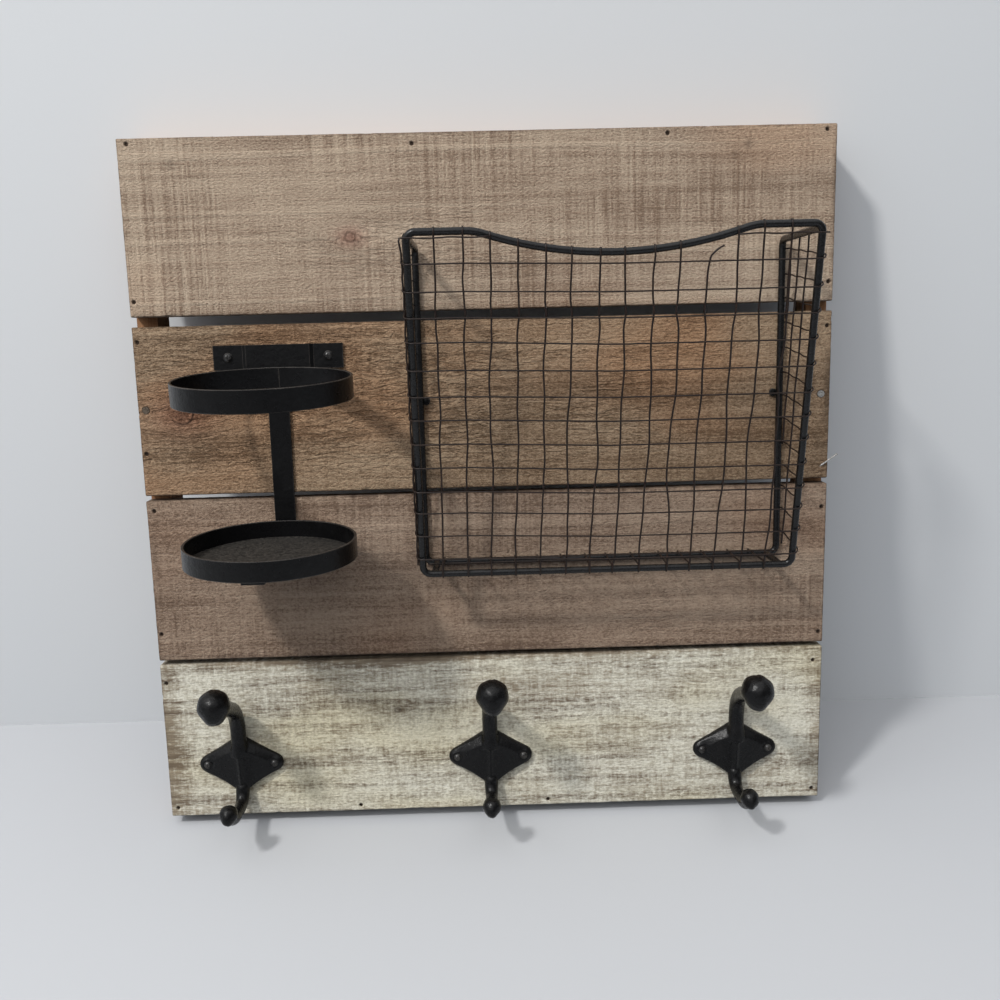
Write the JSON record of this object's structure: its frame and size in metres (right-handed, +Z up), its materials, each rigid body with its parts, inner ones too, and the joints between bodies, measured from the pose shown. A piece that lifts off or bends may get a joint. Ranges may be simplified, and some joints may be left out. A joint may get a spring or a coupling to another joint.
{
  "type": "wall organizer",
  "caption": "Square wall panel of rough boards on a box frame, with a ring-and-dish pot holder, a wire mesh basket with a scooped front and cast double coat hooks.",
  "frame": {"origin": "middle of the top rail's back face, in the plane where the frame rests on the wall, halfway between the ends and halfway up the rail", "axes": "+X to the right as seen from the room, +Y into the wall, +Z up; the boards, basket, holder and hooks are on the -Y side"},
  "size_m": [0.582, 0.1861, 0.5744],
  "materials": {
    "greyed_boards": "rough sawn, greyish brown stain",
    "whitewashed_board": "rough sawn, worn cream whitewash over brown wood",
    "frame_wood": "sawn, brown stain",
    "nail_steel": "plain bright nail steel, slightly dulled",
    "hanger_steel": "thin plated steel",
    "holder_paint": "satin black paint",
    "basket_paint": "satin black paint, worn on the wires",
    "hook_iron": "cast, satin black paint",
    "black_screws": "black finish with bright edges"
  },
  "bodies": {
    "root": {"board_top": "greyed_boards", "board_upper": "greyed_boards", "board_lower": "greyed_boards", "board_hooks": "whitewashed_board", "side_strip_left": "frame_wood", "side_strip_right": "frame_wood", "rail_top": "frame_wood", "rail_bottom": "frame_wood", "board_brads": "nail_steel", "wide_nail_left": "nail_steel", "wide_nail_right": "nail_steel", "stray_brad": "nail_steel", "frame_nails": "nail_steel", "hanger_left": "hanger_steel", "hanger_right": "hanger_steel", "hanger_nails": "nail_steel", "holder_plate": "holder_paint", "holder_strap": "holder_paint", "holder_ring": "holder_paint", "dish_rim": "holder_paint", "dish_floor": "holder_paint", "holder_screws": "black_screws", "basket_hoop": "basket_paint", "basket_back_rod": "basket_paint", "basket_bottom_rod_left": "basket_paint", "basket_bottom_rod_right": "basket_paint", "mesh_front": "basket_paint", "mesh_left": "basket_paint", "mesh_right": "basket_paint", "mesh_floor": "basket_paint", "basket_eye_left": "basket_paint", "basket_eye_right": "basket_paint", "basket_screws": "black_screws", "coat_hook_left": "hook_iron", "coat_hook_middle": "hook_iron", "coat_hook_right": "hook_iron", "hook_screws": "black_screws"}
  },
  "joints": []
}
